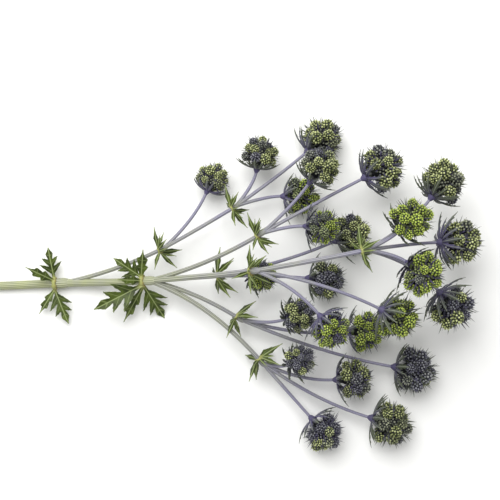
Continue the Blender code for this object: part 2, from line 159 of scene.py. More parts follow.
# A head, in shares of its radius: the ball whose faces the globes stand over, the globes, and
# the core of small buds that they hide, with its neck.
AXES_RADIUS = 0.42
GLOBE_SCALE = (0.92, 1.0)
GLOBE_SPREAD = math.radians(115)
GLOBE_OUT = (0.64, 0.76)
GLOBE_RADIUS = (0.21, 0.285)
GLOBE_STRETCH = (1.0, 1.15)
GLOBE_ASIDE = 0.08
CORE_SHARE = 0.54
CORE_LIGHT = 0.2
NECK_SIDES = 12
NECK_BACK_RADIUS = 0.16
NECK_FRONT_RADIUS = 0.2
NECK_LENGTH = 0.36
NECK_MIDDLE = 0.45
NECK_TONE = (0.6, 0.2, 0.2)
# A globe of radius 1: its core, in painted shade, how much longer and how much narrower that is
# at its lowest, and how far down the buds go.
GLOBE_CORE = 0.82
GLOBE_LONGER = 0.7
GLOBE_NARROWER = 0.45
GLOBE_LOWEST = math.cos(math.radians(132))
# Its buds: their place, size and height, and how far the top of each is pulled to a point.
GOLDEN_TURN = math.pi * (3 - math.sqrt(5))
BUD_SCATTER = 0.06
BUD_DEPTH = 0.8
BUD_RADIUS = 0.95
BUD_SIZE = (0.92, 1.12)
BUD_HEIGHT = (0.85, 1.15)
BUD_TOP = 0.9
BUD_POINT = 0.35
# Each finish has this many different globes. A finish: whose colours it has, how tall its buds
# are beside their width, and the share of light under which a globe turns violet.
GLOBE_SHAPES = 3
FINISHES = {
    "ripe": ("ripe", 1.3, 0.35),
    "young": ("young", 1.05, 0.3),
    "violet": ("ripe", 1.3, 0.85),
}

# The hub behind a head, in shares of the head's radius.
HUB_FRONT = 0.62
HUB_BACK = 0.86
HUB_RADIUS = 0.2
# It starts inside its stalk: by how many millimetres, and at what share of the stalk's radius.
HUB_OVERLAP = 2.2
HUB_FOOT_SHARE = 0.88
HUB_RINGS = 8
HUB_SIDES = 20
HUB_TONE = (0.1, 0, 0.3)

# The bracts of a ruff, in shares of the head's radius: width, how far out and back they reach.
BRACTS = 7
BRACT_SCATTER = 0.12
BRACT_WIDTH = 0.11
BRACT_FOOT = 0.14
BRACT_BEND = 0.8
BRACT_TIP = (1.27, 0.34)
BRACT_REACH = (0.86, 1.08)
BRACT_SWEEP = (-0.1, 0.12)
# Each is tried shorter until it has this much room round it, from a share of its length on.
BRACT_SHORTER = (1.0, 0.88, 0.76)
BRACT_MARGIN = 1.6
BRACT_CLEAR_FROM = 0.25
# The rods that it takes up meet at an elbow, and start at a share of the way to its bend.
BRACT_ROD_START = 0.6
BRACT_ELBOW = 0.3
# How much its sides rise to make its keel, and its steps between two rows and its columns.
BRACT_KEEL = 0.45
BRACT_STEPS = 1
BRACT_COLUMNS = 4
# Where a bract is pale: how fast its rib fades, and where its spines and its tip start to.
PALE_RIB = 4
PALE_SPINE = (0.8, 3)
PALE_TIP = (0.85, 5)
# How much more violet a whole ruff and one of its bracts can be.
RUFF_SHIFT = 0.5
OWN_SHIFT = 0.4
# Short bracts close behind the globes.
INNER_BRACTS = 7
INNER_SCATTER = 0.15
INNER_REACH = (0.76, 0.86)
INNER_WIDTH = 0.8
# Spines that stand round each globe, in shares of the way out to it.
SPINES = 7
SPINE_SIDES = 4
SPINE_SCATTER = 0.3
SPINE_FOOT = (0.42, 0.08)
SPINE_BEND = 0.5
SPINE_SLANT = (0.3, 0.44)
SPINE_REACH = (0.9, 1.15)
SPINE_WIDTH = 0.06
SPINE_FOOT_WIDTH = 0.5
SPINE_SWELL = 1.6
SPINE_FLATNESS = 0.5
SPINE_TIP = 0.9
SPINE_TONES = (0.05, 0.7)
# No spine rises higher over the floor than this.
SPINE_TOP = 131

# Leaves of the two main whorls: heading and rise in degrees, length, width, and whether lobed.
WHORL_LEAVES = {
    "first": (
        (100, 16, 32, 24, True),
        (238, 10, 30, 9, False),
        (152, 38, 34, 11, False),
        (292, 6, 38, 26, True),
    ),
    "second": (
        (207, 8, 54, 34, True),
        (240, -14, 46, 11, False),
        (84, 32, 30, 13, False),
        (145, 20, 34, 24, True),
        (176, 46, 28, 10, False),
        (300, -24, 46, 30, True),
    ),
}
# Rows across a leaf: place along the rib, half width, and how far the edge points forward.
LOBED_ROWS = (
    (0.0, 0.10, 0),
    (0.14, 0.14, 0),
    (0.22, 0.98, 0.32),
    (0.38, 0.20, 0.02),
    (0.46, 0.72, 0.26),
    (0.61, 0.18, 0.02),
    (0.71, 0.32, 0.11),
    (1.0, 0.03, 0),
)
TOOTHED_ROWS = (
    (0.0, 0.25, 0),
    (0.2, 0.45, 0),
    (0.32, 1.0, 0.1),
    (0.46, 0.55, 0),
    (0.6, 0.9, 0.1),
    (0.74, 0.4, 0),
    (1.0, 0.06, 0),
)
NARROW_ROWS = (
    (0.0, 0.42, 0),
    (0.36, 1.0, 0.12),
    (0.62, 0.62, 0),
    (1.0, 0.07, 0),
)
# Rows across a bract: a lance-shaped blade with three pairs of side spines.
BRACT_ROWS = (
    (0.0, 0.5, 0),
    (0.20, 0.58, 0),
    (0.28, 1.05, 0.08),
    (0.34, 0.68, 0),
    (0.47, 0.74, 0),
    (0.54, 1.12, 0.08),
    (0.60, 0.66, 0),
    (0.69, 0.56, 0),
    (0.74, 0.86, 0.07),
    (0.80, 0.38, 0),
    (1.0, 0.02, 0),
)

# Small whorls at the forks: how many narrow leaves each has, and about how long they are.
SMALL_WHORLS = {
    "a1": (6, 23),
    "a2": (6, 21),
    "b1": (7, 22),
    "c1": (8, 25),
    "d1": (7, 22),
    "e1": (7, 24),
    "f1": (7, 22),
    "f2": (6, 21),
}
# Their leaves: width beside length, lengths, and slants forward of three leaves in turn.
SMALL_LEAF_WIDTH = 0.24
SMALL_LEAF_LENGTH = (0.85, 1.1)
SMALL_LEAF_SLANTS = ((0.0, 0.4), (0.8, 1.3), (-0.5, -0.1))
# Degrees by which a leaf is turned about the joint until it has room, and its clearance.
SMALL_LEAF_TURNS = (0, 10, -10, 20, -20, 30, -30)
SMALL_LEAF_MARGIN = 2.2
# Shorter leaves that fill a small whorl: slant, share of its length, width and clearance.
INNER_LEAF_SLANT = (0.2, 1.1)
INNER_LEAF_SHARE = (0.5, 0.75)
INNER_LEAF_WIDTH = 0.2
INNER_LEAF_MARGIN = 1.2
# Places of all leaves: scatter about the joint, and where they have to be clear and take room.
LEAF_SCATTER = 0.2
LEAF_CLEAR_FROM = 0.3
LEAF_TAKEN_FROM = 0.25
MAIN_LEAF_TAKEN_FROM = 6
# The way that the upper faces of small leaves turn, and what gives each leaf its form.
LEAF_FACE = Vector((0, 0, 2))
LEAF_ROOT = 0.6
RIB_FOLD = 0.3
LEAF_DROOP = 0.12
LEAF_RIPPLE = 0.012
RIPPLES_ALONG = 14
RIPPLES_ACROSS = 2
# Steps between two rows and columns across, then how much the sides of the lobes swell and
# how deep their teeth are, in shares of the leaf's length.
MAIN_LEAF = (9, 16, 0.018, 0.02)
SMALL_LEAF = (9, 6, 0.01, 0.035)
TEETH = 3
TIP_DRAWN_IN = 0.16
# A row is a lobe with a side vein if its edge points this far forward.
LOBE_FORWARD = 0.05
# The distance from the rib at which the leaf's tone is 1.
LEAF_TONE_REACH = 20
# Collars: how far behind the fork, how thick, and how many sides the solid has.
MAIN_COLLAR = (3.4, 1.5, 8)
SMALL_COLLAR = (2.6, 0.9, 6)
SMALL_COLLAR_EASE = 1.04
COLLAR_RINGS = 36
COLLAR_SIDES = 10
COLLAR_LOBES = 6
COLLAR_LOBE_DEPTH = 0.25
COLLAR_HEIGHT = 1.5
COLLAR_RIM = 0.5

# Sizes of the patterns: streaks along the stem and how many go round it, the violet blotches,
# the lighter patches and the cells of a leaf, and the mottling of a bract.
STREAK_LENGTH = 40
STREAKS_ROUND = 24
VIOLET_BLOTCH = 12.5
LEAF_PATCH = 8.33
LEAF_CELL = 1.54
BRACT_PATCH = 6.25
# Plant skin reflects less than a moulded surface.
SKIN_SPECULAR = 0.3

# Stage, in metres: the middle of the camera's view, the floor, and the softbox and its aim.
# Only the lens and its sensor are in millimetres.
VIEW_MIDDLE = (0.41, 0.034)
FLOOR_SIZE = 3
FLOOR_DEPTH = 0.0002
BOARD_ROUGHNESS = 0.9
SOFTBOX_PLACE = (0.1, 0.85, 1.45)
SOFTBOX_AIM = (0.45, 0.0, 0.03)
SOFTBOX_WIDTH = 1.3
SOFTBOX_WATTS = 33
STUDIO_LIGHT = 0.6
LENS = 90
SENSOR_WIDTH = 36


def linear(code):
    """Linear red, green and blue of an sRGB hex colour."""
    shares = [int(code[at:at + 2], 16) / 255 for at in (1, 3, 5)]
    return [s / 12.92 if s <= 0.04045 else ((s + 0.055) / 1.055) ** 2.4 for s in shares]


def colour(name, description, code):
    return FloatVectorProperty(
        name=name, description=description, default=linear(code), subtype="COLOR", min=0, max=1
    )


def length(name, description, millimetres):
    return FloatProperty(
        name=name, description=description, default=millimetres * METRES, unit="LENGTH", min=0
    )


class SeaHollyStemSettings(bpy.types.PropertyGroup):
    ribs: IntProperty(name="Ribs", description="Ribs round the main stem", default=14, min=3)
    rib_depth: length("Rib depth", "How far the grooves lie below the ribs", 0.28)
    base: colour("Base colour", "Skin of the lower stem", "#B8BC8B")
    groove: colour("Groove colour", "Shade in the lower stem's grooves", "#646D40")
    branch: colour("Branch colour", "Skin of the upper branches", "#9997AA")
    branch_groove: colour("Branch groove colour", "Shade in the branches' grooves", "#4D4A60")
    pith: colour("Pith colour", "Spongy middle shown by the cut", "#DAD7AE")


class SeaHollyLeafSettings(bpy.types.PropertyGroup):
    thickness: length("Thickness", "Thickness of a leaf blade", 0.55)
    blade: colour("Blade colour", "Upper side of a leaf", "#2B360A")
    light_blade: colour("Light blade colour", "Lighter patches of a leaf", "#51611E")
    under: colour("Under colour", "Under side of a leaf", "#6F7A58")
    rib: colour("Rib colour", "Midrib and veins", "#88945F")
    collar: colour("Collar colour", "Clasping leaf bases round a joint", "#9C9F60")
    collar_rim: colour("Collar rim colour", "Reddish rim of a collar", "#8E6B3F")


class SeaHollyBractSettings(bpy.types.PropertyGroup):
    thickness: length("Thickness", "Thickness of a bract", 0.4)
    green: colour("Green colour", "Greener bracts", "#4A503F")
    violet: colour("Violet colour", "Violet bracts", "#4F4A69")
    rib: colour("Rib colour", "Midrib and spine tips", "#8F9487")


class SeaHollyHeadSettings(bpy.types.PropertyGroup):
    florets: IntProperty(name="Florets", description="Florets on one globe", default=40, min=8)
    core_florets: IntProperty(
        name="Core florets", description="Small buds on a head's core", default=110, min=8
    )
    ripe_tip: colour("Ripe tip", "Tip of a ripe floret", "#C3C990")
    ripe_side: colour("Ripe side", "Side of a ripe floret", "#565F30")
    young_tip: colour("Young tip", "Tip of a young floret", "#C0CD66")
    young_side: colour("Young side", "Side of a young floret", "#788C31")
    violet_tip: colour("Violet tip", "Tip of a violet floret", "#9C9DA2")
    violet_side: colour("Violet side", "Side of a violet floret", "#47465A")
    # Painted shade at the feet of the florets and on the cores between them.
    shade: colour("Shade", "Dark base between florets", "#1B1D20")


class SeaHollyStageSettings(bpy.types.PropertyGroup):
    floor: colour("Floor colour", "Matt white board under the stem", "#F4F4F2")
    camera_height: length("Camera height", "Height of the camera over the floor", 1290)


class SeaHollySettings(bpy.types.PropertyGroup):
    stem: PointerProperty(type=SeaHollyStemSettings, name="Stem", description="The stem")
    leaf: PointerProperty(type=SeaHollyLeafSettings, name="Leaves", description="The leaves")
    bract: PointerProperty(type=SeaHollyBractSettings, name="Bracts", description="The bracts")
    head: PointerProperty(type=SeaHollyHeadSettings, name="Heads", description="The heads")
    stage: PointerProperty(type=SeaHollyStageSettings, name="Stage", description="The stage")


# Routes of the stem and its branches


def smooth_route(points, radii, step):
    """Points about a step apart on a Catmull-Rom curve through the given points."""
    places = [Vector(point) for point in points]
    padded = [places[0] * 2 - places[1], *places, places[-1] * 2 - places[-2]]
    route = []
    for index in range(len(places) - 1):
        before, start, end, after = padded[index:index + 4]
        pieces = max(1, round((end - start).length / step))
        for piece in range(pieces):
            t = piece / pieces
            place = 0.5 * (
                2 * start
                + (end - before) * t
                + (2 * before - 5 * start + 4 * end - after) * t * t
                + (3 * start - before - 3 * end + after) * t ** 3
            )
            radius = radii[index] + (radii[index + 1] - radii[index]) * t
            route.append((place, radius))
    route.append((places[-1], radii[-1]))
    return route


def bent_route(start, bend, end, foot_radius, top_radius, pieces):
    """Places along a curve from start to end, each with its radius."""
    route = []
    for piece in range(pieces + 1):
        t = piece / pieces
        radius = foot_radius + (top_radius - foot_radius) * t
        route.append((curve_place(start, bend, end, t), radius))
    return route


def bend_point(start, end, parent_direction, rise):
    """The point that a branch sets off towards, leaning the way its parent grows."""
    chord = end - start
    lean = (parent_direction - chord.normalized()) * chord.length * FORWARD_LEAN
    return start + chord / 2 + lean - Vector((0, 0, rise))


def main_direction(fork):
    """The way that the main stem runs where it reaches a fork."""
    places = [Vector(point) for point, radius in STEM_ROUTE]
    index = places.index(Vector(FORKS[fork][1]))
    return (places[index] - places[index - 1]).normalized()


def plan_stem():
    """Routes of every branch and stalk, with the direction each has at its end."""
    routes = {}
    directions = {name: main_direction(name) for name in WHORL_LEAVES}
    for name, (parent, place, foot_radius, top_radius) in FORKS.items():
        if name in directions:
            continue
        start = Vector(FORKS[parent][1])
        end = Vector(place)
        bend = bend_point(start, end, directions[parent], 0)
        routes[name] = (start, bend, end, foot_radius, top_radius)
        directions[name] = (end - bend).normalized()
    for name, (parent, place, radius, kind) in HEADS.items():
        start = Vector(FORKS[parent][1])
        middle = Vector(place)
        bend = bend_point(start, middle, directions[parent], TIP_RISE)
        direction = (middle - bend).normalized()
        end = middle - direction * (radius * HUB_BACK + STALK_GAP)
        routes[name] = (start, bend, end, FLOWER_STALK_FOOT, FLOWER_STALK_TOP)
        directions[name] = direction
    return routes, directions


# What grows on it keeps clear of what is there already


class Room:
    """The rods and balls that are taken, each with the name of what it belongs to."""

    def __init__(self):
        self.taken = []

    def take(self, start, end, radius, owner):
        self.taken.append((start, end, radius, owner))

    def is_free(self, places, margin, own):
        for place in places:
            if place.z < FLOOR_CLEARANCE:
                return False
            for start, end, radius, owner in self.taken:
                if owner in own:
                    continue
                if (place - nearest(place, start, end)).length < radius + margin:
                    return False
        return True


def nearest(place, start, end):
    """The point of a rod's middle line that is nearest to a place."""
    if start == end:
        return start
    foot, share = intersect_point_line(place, start, end)
    if share <= 0:
        return start
    if share >= 1:
        return end
    return foot


def fill_room(routes):
    """What the stem and the heads take, with each branch as its coarse rods."""
    room = Room()
    points = [Vector(point) for point, radius in STEM_ROUTE]
    for start, end in zip(points, points[1:]):
        room.take(start, end, STEM_ROUTE[0][1], "main")
    for name, route in routes.items():
        pieces = STALK_RODS if name in HEADS else BRANCH_RODS
        rods = bent_route(*route, pieces)
        for (start, radius), (end, end_radius) in zip(rods, rods[1:]):
            room.take(start, end, radius, name)
    for name, (parent, place, radius, kind) in HEADS.items():
        room.take(Vector(place), Vector(place), radius, name)
    return room


def facing(direction, place):
    """A matrix that takes +Z to a direction and the origin to a place."""
    return Matrix.Translation(place) @ direction.to_track_quat("Z", "Y").to_matrix().to_4x4()


def spoke(angle):
    """The way out from the Z axis at an angle round it."""
    return Vector((math.cos(angle), math.sin(angle), 0))


def curve_place(start, bend, end, t):
    """The place at a share of the way along a curve that leaves its start towards its bend."""
    return start * (1 - t) ** 2 + bend * 2 * t * (1 - t) + end * t * t


def face_direction(face):
    return face.calc_center_median().normalized()


def plan_globes(name):
    """The way each of a head's globes points, in the head's own frame, and its scale."""
    radius = HEADS[name][2]
    chance = random.Random("head_" + name)
    ball = bmesh.new()
    bmesh.ops.create_icosphere(ball, subdivisions=1, radius=radius * AXES_RADIUS)
    ball.faces.ensure_lookup_table()
    face_down = face_direction(ball.faces[0]).rotation_difference(Vector((0, 0, -1))).to_matrix()
    spin = Matrix.Rotation(chance.uniform(0, math.tau), 3, "Z")
    bmesh.ops.transform(ball, matrix=(spin @ face_down).to_4x4(), verts=ball.verts)
    axes = [face_direction(face) for face in ball.faces]
    ball.free()
    kept = [axis for axis in axes if math.acos(axis.z) < GLOBE_SPREAD]
    return [(axis, radius * chance.uniform(*GLOBE_SCALE)) for axis in kept]


def bract_line(radius, around, reach, sweep):
    """Foot, bend and tip of a bract that radiates from a ruff facing +Z."""
    out = spoke(around)
    up = Vector((0, 0, 1))
    back = up * radius * (HUB_FRONT + HUB_BACK) / 2
    tip_out, tip_back = BRACT_TIP
    foot = out * radius * BRACT_FOOT - back
    bend = out * radius * BRACT_BEND * reach - back
    tip = out * radius * tip_out * reach - up * radius * (tip_back - sweep)
    return foot, bend, tip


def line_places(foot, bend, tip, start_share):
    """Places along a bent line, from a share of its length on."""
    steps = 8
    shares = [start_share + (1 - start_share) * step / steps for step in range(steps + 1)]
    return [curve_place(foot, bend, tip, t) for t in shares]


def plan_ruff(name, matrix, room):
    """Foot, bend and tip of each bract that has room behind a head."""
    radius = HEADS[name][2]
    chance = random.Random("bracts_" + name)
    lines = []
    for index in range(BRACTS):
        scatter = chance.uniform(-BRACT_SCATTER, BRACT_SCATTER)
        around = math.tau * (index + 0.5 + scatter) / BRACTS
        reach = chance.uniform(*BRACT_REACH)
        sweep = chance.uniform(*BRACT_SWEEP)
        for shorter in BRACT_SHORTER:
            line = bract_line(radius, around, reach * shorter, sweep)
            foot, bend, tip = (matrix @ point for point in line)
            places = line_places(foot, bend, tip, BRACT_CLEAR_FROM)
            if not room.is_free(places, BRACT_MARGIN, (name,)):
                continue
            elbow = bend.lerp(tip, BRACT_ELBOW)
            room.take(foot.lerp(bend, BRACT_ROD_START), elbow, BRACT_MARGIN, name)
            room.take(elbow, tip, BRACT_MARGIN, name)
            lines.append((foot, bend, tip))
            break
    return lines


def leaf_matrix(place, along, outward):
    """A matrix that takes +X along a leaf, with its upper face turned outward."""
    along = along.normalized()
    side = outward.cross(along).normalized()
    up = along.cross(side)
    turn = Matrix((along, side, up)).transposed().to_4x4()
    return Matrix.Translation(place) @ turn


def plan_collar(fork, direction, stem_radius, size):
    """Middle, direction, ring radius and thickness of the collar just below a fork."""
    back, thickness, segments = size
    place = fork - direction * (stem_radius + back)
    inner = (stem_radius + GAP) / math.cos(math.pi / segments)
    return place, direction, inner + thickness, thickness, stem_radius


def plan_main_whorl(name, room):
    """The collar and the broad leaves just below one of the main stem's forks."""
    collar = plan_collar(Vector(FORKS[name][1]), main_direction(name), FORKS[name][3], MAIN_COLLAR)
    place, direction, ring_radius = collar[:3]
    leaves = []
    for heading, rise, leaf_length, width, is_lobed in WHORL_LEAVES[name]:
        tilt = math.radians(rise)
        along = spoke(math.radians(heading)) * math.cos(tilt)
        along.z = math.sin(tilt)
        outward = (along - direction * along.dot(direction)).normalized()
        foot = place + outward * ring_radius
        matrix = leaf_matrix(foot - along * LEAF_ROOT, along, Vector((0, 0, 1)))
        rows = LOBED_ROWS if is_lobed else TOOTHED_ROWS
        leaves.append((matrix, leaf_length, width, rows))
        start = foot + along * MAIN_LEAF_TAKEN_FROM
        room.take(start, foot + along * leaf_length, width / 2, name)
    return collar, leaves


def plan_small_whorl(name, direction, room):
    """The collar and the narrow leaves just below a branch's fork."""
    count, whorl_length = SMALL_WHORLS[name]
    radius = FORKS[name][3] * SMALL_COLLAR_EASE
    collar = plan_collar(Vector(FORKS[name][1]), direction, radius, SMALL_COLLAR)
    place, direction, ring_radius = collar[:3]
    turned = facing(direction, place).to_3x3()
    leaves = []

    def grow(angle, slant, leaf_length, width, margin):
        """Add a leaf if it has room, and give its foot and its tip."""
        out = (turned @ spoke(angle)).normalized()
        along = (out + direction * slant).normalized()
        foot = place + out * ring_radius
        tip = foot + along * leaf_length
        places = line_places(foot, foot.lerp(tip, 0.5), tip, LEAF_CLEAR_FROM)
        if not room.is_free(places, margin, (name,)):
            return None
        matrix = leaf_matrix(foot - along * LEAF_ROOT, along, LEAF_FACE - direction)
        leaves.append((matrix, leaf_length, leaf_length * width, NARROW_ROWS))
        return foot, tip

    chance = random.Random("leaves_" + name)
    for index in range(count):
        around = math.tau * (index + chance.uniform(-LEAF_SCATTER, LEAF_SCATTER)) / count
        slant = chance.uniform(*SMALL_LEAF_SLANTS[index % len(SMALL_LEAF_SLANTS)])
        own_length = whorl_length * chance.uniform(*SMALL_LEAF_LENGTH)
        for turn in SMALL_LEAF_TURNS:
            angle = around + math.radians(turn)
            grown = grow(angle, slant, own_length, SMALL_LEAF_WIDTH, SMALL_LEAF_MARGIN)
            if grown:
                foot, tip = grown
                room.take(foot.lerp(tip, LEAF_TAKEN_FROM), tip, SMALL_LEAF_MARGIN, name)
                break
    chance = random.Random("inner_leaves_" + name)
    for index in range(count):
        around = math.tau * (index + 0.5 + chance.uniform(-LEAF_SCATTER, LEAF_SCATTER)) / count
        slant = chance.uniform(*INNER_LEAF_SLANT)
        own_length = whorl_length * chance.uniform(*INNER_LEAF_SHARE)
        grow(around, slant, own_length, INNER_LEAF_WIDTH, INNER_LEAF_MARGIN)
    return collar, leaves


def plan_plant():
    """Where everything grows, in the order in which each thing takes its room."""
    routes, directions = plan_stem()
    room = fill_room(routes)
    whorls = {name: plan_main_whorl(name, room) for name in WHORL_LEAVES}
    for name in SMALL_WHORLS:
        whorls[name] = plan_small_whorl(name, directions[name], room)
    heads = {}
    for name, (parent, place, radius, kind) in HEADS.items():
        matrix = facing(directions[name], Vector(place))
        heads[name] = (matrix, plan_globes(name), plan_ruff(name, matrix, room))
    return {"routes": routes, "directions": directions, "whorls": whorls, "heads": heads}


# Meshes


def new_shape():
    """An empty mesh with a UV map and the colour attribute that the materials read."""
    shape = bmesh.new()
    shape.loops.layers.uv.new("UVMap")
    shape.verts.layers.float_color.new(TONE)
    return shape


def tone_layer(shape):
    return shape.verts.layers.float_color[TONE]


def set_tone(shape, vertices, tone):
    layer = tone_layer(shape)
    for vertex in vertices:
        vertex[layer] = (*tone, 1)


def smooth(shape):
    for face in shape.faces:
        face.smooth = True


def new_mesh(name, shape):
    """A mesh with what a shape holds, which is then freed."""
    mesh = bpy.data.meshes.new(name)
    shape.to_mesh(mesh)
    shape.free()
    return mesh


def join(parts):
    """One shape from several."""
    whole = new_shape()
    for part in parts:
        mesh = new_mesh("part", part)
        whole.from_mesh(mesh)
        bpy.data.meshes.remove(mesh)
    return whole


def place_globe(shape, globe, matrix, own):
    """Add a copy of a globe's mesh to a shape where it stands, with its own share of light."""
    mesh = globe.copy()
    mesh.transform(matrix)
    tones = mesh.attributes[TONE].data
    values = [0.0] * (len(tones) * 4)
    tones.foreach_get("color", values)
    values[2::4] = [own] * len(tones)
    tones.foreach_set("color", values)
    shape.from_mesh(mesh)
    bpy.data.meshes.remove(mesh)


def face_outwards(shape):
    """Turn a closed shape's faces out; the sign of its volume tells which way they point."""
    bmesh.ops.recalc_face_normals(shape, faces=shape.faces)
    if shape.calc_volume(signed=True) < 0:
        bmesh.ops.reverse_faces(shape, faces=shape.faces)


def wrapped_grid(rings, sides, place_at):
    """A closed skin: a grid with rings along it and sides round it, welded and capped."""
    shape = new_shape()
    layer = tone_layer(shape)
    bmesh.ops.create_grid(shape, x_segments=rings, y_segments=sides, size=0.5, calc_uvs=True)
    for vertex in shape.verts:
        place, tone = place_at(vertex.co.x + 0.5, vertex.co.y + 0.5)
        vertex.co = place
        vertex[layer] = (*tone, 1)
    bmesh.ops.remove_doubles(shape, verts=shape.verts, dist=WELD)
    filled = bmesh.ops.holes_fill(shape, edges=shape.edges, sides=0)["faces"]
    face_outwards(shape)
    smooth(shape)
    for face in filled:
        face.smooth = False
        for edge in face.edges:
            edge.smooth = False
    return shape


def turned_frames(route):
    """A rotation for each point of a route that turns as little as it can on the way."""
    frames = []
    turn = None
    for index in range(len(route)):
        before = route[max(index - 1, 0)][0]
        after = route[min(index + 1, len(route) - 1)][0]
        tangent = (after - before).normalized()
        if turn is None:
            turn = tangent.to_track_quat("Z", "Y")
        else:
            old = turn @ Vector((0, 0, 1))
            turn = old.rotation_difference(tangent) @ turn
        frames.append(turn.copy())
    return frames


def ribbed_skin(route, sides, ribs, depth, violet):
    """A ribbed skin round a route. violet is the share of violet in its colour at each end.

    Its UV map counts streaks along it, and goes once round it.
    """
    frames = turned_frames(route)

    def place_at(along, around):
        index = round(along * (len(route) - 1))
        place, radius = route[index]
        angle = math.tau * around
        ridge = 0.5 + 0.5 * math.cos(ribs * angle)
        out = frames[index] @ spoke(angle)
        tone = (violet[0] + (violet[1] - violet[0]) * along, ridge, 0)
        return place + out * (radius - depth * (1 - ridge)), tone

    shape = wrapped_grid(len(route) - 1, sides, place_at)
    total = sum((after[0] - before[0]).length for before, after in zip(route, route[1:]))
    layer = shape.loops.layers.uv["UVMap"]
    for face in shape.faces:
        for loop in face.loops:
            loop[layer].uv.x *= total / STREAK_LENGTH
    return shape


def leaf_place(rows, row):
    """Place along, half width and forward reach of a blade at a fractional row.

    The sides of its last stretch are drawn in, which gives it a fine tip.
    """
    index = min(int(row), len(rows) - 2)
    share = row - index
    values = [a + (b - a) * share for a, b in zip(rows[index], rows[index + 1])]
    if index == len(rows) - 2:
        values[1] -= rows[index][1] * TIP_DRAWN_IN * math.sin(math.pi * share)
    return values, index, share


def blade(rows, form, down, place_at):
    """A thin blade with a cut edge. place_at turns a place along and across it to a point.

    form is its steps between two rows, its columns, how much the sides of its lobes swell and
    how deep their teeth are. down is the way from its upper face to its under face, as long as
    the blade is thick. Its tone holds the distance from the rib, the place along it and how
    near a side vein is; its alpha is 0 on the under face, and 0.5 at the rib to 1 at the edge
    of the upper face.
    """
    shape = new_shape()
    layer = tone_layer(shape)
    steps, columns, swell, teeth = form
    count = (len(rows) - 1) * steps
    bmesh.ops.create_grid(shape, x_segments=count, y_segments=columns, size=0.5, calc_uvs=True)
    lobes = [index for index in range(1, len(rows) - 1) if rows[index][2] > LOBE_FORWARD]
    for vertex in shape.verts:
        row = (vertex.co.x + 0.5) * (len(rows) - 1)
        across = vertex.co.y * 2
        edge = abs(across)
        (along, half_width, forward), index, share = leaf_place(rows, row)
        reach = across * half_width
        t = along + forward * edge
        towards = 1 if index in lobes else -1
        notch = (share if towards < 0 else 1 - share) * TEETH % 1
        way = towards * (swell * math.sin(math.pi * share) - teeth * notch) * edge ** 2
        t = min(t + way, 1)
        near_vein = 1 - min([abs(row - lobe) for lobe in lobes] + [1])
        vertex.co = place_at(t, reach)
        vertex[layer] = (abs(reach), t, near_vein, 0.5 + edge / 2)
    bmesh.ops.triangulate(shape, faces=shape.faces)
    for vertex in shape.verts:
        vertex.co.z = max(vertex.co.z, FLOOR_CLEARANCE)
    drawn = bmesh.ops.extrude_face_region(shape, geom=shape.faces)["geom"]
    lowered = [part for part in drawn if isinstance(part, bmesh.types.BMVert)]
    bmesh.ops.translate(shape, vec=down, verts=lowered)
    for vertex in lowered:
        vertex[layer] = (*vertex[layer][:3], 0)
    face_outwards(shape)
    smooth(shape)
    return shape


def show(name, data):
    """Link a new object to the scene."""
    shown = bpy.data.objects.new(name, data)
    bpy.context.scene.collection.objects.link(shown)
    return shown


def keep_piece(shape, name, material, node):
    """Turn a finished shape to metres and keep it as the piece that stands for a node."""
    for vertex in shape.verts:
        vertex.co.z = max(vertex.co.z, 0)
    bmesh.ops.scale(shape, vec=(METRES, METRES, METRES), verts=shape.verts)
    piece = show(name, new_mesh(name, shape))
    piece.data.materials.append(material)
    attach(piece, BODY)
    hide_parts(node)


# Materials


def add(tree, kind, inputs=None, output=0, **settings):
    """Add a node, with its settings and a value or a link for each input, and give an output."""
    node = tree.nodes.new("ShaderNode" + kind)
    for key, value in settings.items():
        setattr(node, key, value)
    for key, value in (inputs or {}).items():
        if isinstance(value, bpy.types.NodeSocket):
            tree.links.new(value, node.inputs[key])
        else:
            node.inputs[key].default_value = value
    return node.outputs[output]


def new_material(name, roughness):
    """A material with its tree, its shader and the channels of the tone attribute."""
    material = bpy.data.materials.new(name)
    material.use_nodes = True
    tree = material.node_tree
    shader = tree.nodes["Principled BSDF"]
    shader.inputs["Roughness"].default_value = roughness
    shader.inputs["Specular IOR Level"].default_value = SKIN_SPECULAR
    colour = add(tree, "Attribute", output="Color", attribute_name=TONE)
    channels = add(tree, "SeparateColor", {"Color": colour}).node.outputs
    tone = {channel.lower(): channels[channel] for channel in channels.keys()}
    tone["edge"] = colour.node.outputs["Alpha"]
    return material, tree, shader, tone


def rgba(value):
    return (*value, 1)


def per_metre(millimetres):
    """How many times a pattern of this size goes into a metre."""
    return 1 / (millimetres * METRES)


